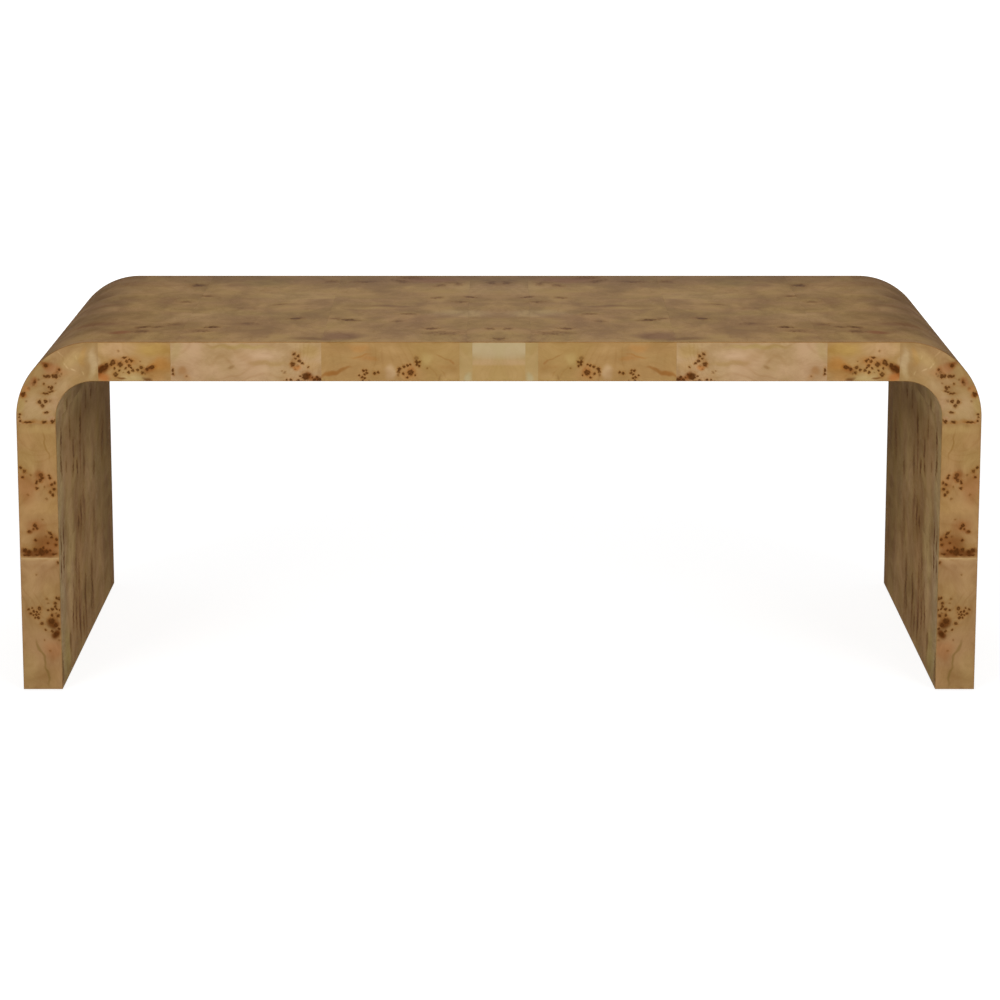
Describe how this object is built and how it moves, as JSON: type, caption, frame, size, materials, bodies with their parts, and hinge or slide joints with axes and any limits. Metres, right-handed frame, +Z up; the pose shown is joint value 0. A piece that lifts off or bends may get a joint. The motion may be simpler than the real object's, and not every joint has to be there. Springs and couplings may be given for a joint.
{
  "type": "coffee table",
  "caption": "Low rectangular waterfall coffee table whose thick burl-veneered top turns down over rounded corners into slab legs.",
  "frame": {"origin": "on the floor, under the middle of the table's box", "axes": "+X along the table's length, +Y from its front edge to its rear edge, +Z up"},
  "size_m": [1.22, 0.61, 0.452],
  "materials": {
    "burl_veneer": "satin lacquer over poplar burl",
    "fibreboard": "sanded board",
    "bent_plywood": "bending plywood, unfinished",
    "plywood": "birch plywood, unfinished",
    "poplar": "planed timber, unfinished",
    "beech": "turned dowel, unfinished",
    "nylon": "moulded nylon",
    "steel": "zinc plated"
  },
  "bodies": {
    "root": {"front_edge_veneer": "burl_veneer", "glide_nails": "steel", "glides": "nylon", "left_corner_front_former": "plywood", "left_corner_front_veneer": "burl_veneer", "left_corner_inner_skin": "bent_plywood", "left_corner_inner_veneer": "burl_veneer", "left_corner_leg_batten": "poplar", "left_corner_middle_formers": "plywood", "left_corner_outer_skin": "bent_plywood", "left_corner_outer_veneer": "burl_veneer", "left_corner_rear_former": "plywood", "left_corner_rear_veneer": "burl_veneer", "left_corner_top_batten": "poplar", "left_leg_cross_ribs": "poplar", "left_leg_foot_rail": "poplar", "left_leg_front_stile": "poplar", "left_leg_front_veneer": "burl_veneer", "left_leg_head_rail": "poplar", "left_leg_inner_skin": "fibreboard", "left_leg_inner_veneer": "burl_veneer", "left_leg_outer_skin": "fibreboard", "left_leg_outer_veneer": "burl_veneer", "left_leg_rear_stile": "poplar", "left_leg_rear_veneer": "burl_veneer", "left_top_end_rail": "poplar", "leg_joint_dowels": "beech", "rear_edge_veneer": "burl_veneer", "right_corner_front_former": "plywood", "right_corner_front_veneer": "burl_veneer", "right_corner_inner_skin": "bent_plywood", "right_corner_inner_veneer": "burl_veneer", "right_corner_leg_batten": "poplar", "right_corner_middle_formers": "plywood", "right_corner_outer_skin": "bent_plywood", "right_corner_outer_veneer": "burl_veneer", "right_corner_rear_former": "plywood", "right_corner_rear_veneer": "burl_veneer", "right_corner_top_batten": "poplar", "right_leg_cross_ribs": "poplar", "right_leg_foot_rail": "poplar", "right_leg_front_stile": "poplar", "right_leg_front_veneer": "burl_veneer", "right_leg_head_rail": "poplar", "right_leg_inner_skin": "fibreboard", "right_leg_inner_veneer": "burl_veneer", "right_leg_outer_skin": "fibreboard", "right_leg_outer_veneer": "burl_veneer", "right_leg_rear_stile": "poplar", "right_leg_rear_veneer": "burl_veneer", "right_top_end_rail": "poplar", "top_cross_ribs": "poplar", "top_front_rail": "poplar", "top_joint_dowels": "beech", "top_lower_skin": "fibreboard", "top_rear_rail": "poplar", "top_upper_skin": "fibreboard", "top_veneer": "burl_veneer", "underside_veneer": "burl_veneer"}
  },
  "joints": []
}
